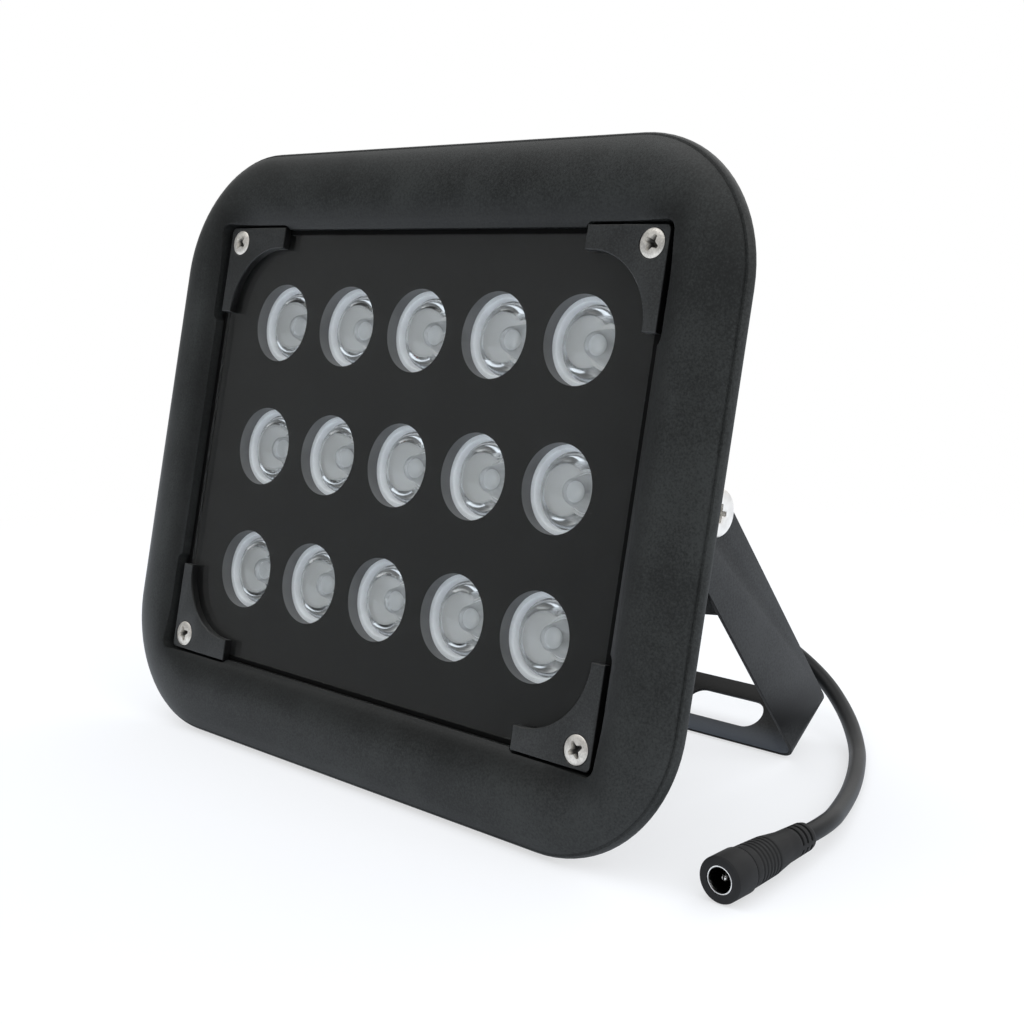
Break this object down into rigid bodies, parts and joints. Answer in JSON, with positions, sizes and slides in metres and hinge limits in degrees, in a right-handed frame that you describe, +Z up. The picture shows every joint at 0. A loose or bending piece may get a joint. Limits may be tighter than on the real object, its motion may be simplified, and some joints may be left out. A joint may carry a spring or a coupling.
{
  "type": "led floodlight",
  "caption": "Square floodlight head with rows of clear lenses behind glass, tilting on a U shaped bracket, with a short power lead that ends in a round socket.",
  "frame": {"origin": "on the ground, under the middle of the light without its lead", "axes": "+Z up, +Y back, away from the lit side, +X to the right as seen from in front"},
  "size_m": [0.2179, 0.1385, 0.1619],
  "materials": {
    "black_casting": "fine matt black paint on a die casting",
    "black_clip": "fine matt black paint",
    "clear_glass": "clear toughened glass",
    "black_plate": "smooth black plastic",
    "rubber_seal": "soft black rubber",
    "steel_screw": "bright plated steel",
    "steel_bolt": "bright plated steel",
    "light_chip": "yellow phosphor under clear silicone",
    "white_board": "white lacquer on an aluminium board",
    "green_board": "green lacquer on a fibre board",
    "choke_ferrite": "dark ferrite with varnished windings",
    "capacitor_can": "dark sleeve on a metal can",
    "terminal_plastic": "green moulded plastic",
    "red_wire": "red insulation",
    "black_wire": "black insulation",
    "gland_nylon": "black moulded nylon",
    "cord_jacket": "matt black cable jacket",
    "black_steel": "satin black powder coat on sheet steel",
    "jack_plastic": "matt black moulding",
    "contact_metal": "bright nickel plating",
    "lens_clear": "clear moulded lens"
  },
  "bodies": {
    "bracket": {"bracket": "black_steel", "cord": "cord_jacket", "jack_body": "jack_plastic", "jack_sleeve": "contact_metal", "jack_pin": "contact_metal"},
    "head": {"housing": "black_casting", "front_glass": "clear_glass", "lens_plate": "black_plate", "gasket": "rubber_seal", "clip_top_left": "black_clip", "clip_top_right": "black_clip", "clip_bottom_left": "black_clip", "clip_bottom_right": "black_clip", "clip_screws": "steel_screw", "board_screws": "steel_screw", "driver_screws": "steel_screw", "lens_01": "lens_clear", "lens_02": "lens_clear", "lens_03": "lens_clear", "lens_04": "lens_clear", "lens_05": "lens_clear", "lens_06": "lens_clear", "lens_07": "lens_clear", "lens_08": "lens_clear", "lens_09": "lens_clear", "lens_10": "lens_clear", "lens_11": "lens_clear", "lens_12": "lens_clear", "lens_13": "lens_clear", "lens_14": "lens_clear", "lens_15": "lens_clear", "light_sources": "light_chip", "light_board": "white_board", "driver_board": "green_board", "choke": "choke_ferrite", "capacitor": "capacitor_can", "terminal_block": "terminal_plastic", "supply_lead_red": "red_wire", "supply_lead_black": "black_wire", "light_lead_red": "red_wire", "light_lead_black": "black_wire", "gland_body": "gland_nylon", "gland_seal": "rubber_seal", "gland_nut": "gland_nylon", "cable_tail": "cord_jacket", "friction_washer_right": "rubber_seal", "friction_washer_left": "rubber_seal", "flat_washer_right": "steel_bolt", "flat_washer_left": "steel_bolt", "pivot_bolt_right": "steel_bolt", "pivot_bolt_left": "steel_bolt"}
  },
  "joints": [
    {"name": "tilt", "type": "hinge", "parent": "bracket", "child": "head", "pos_m": [0, -0.00414, 0.074], "axis": [1, 0, 0], "range_deg": [-134, 55], "deforming": ["cord"]}
  ]
}
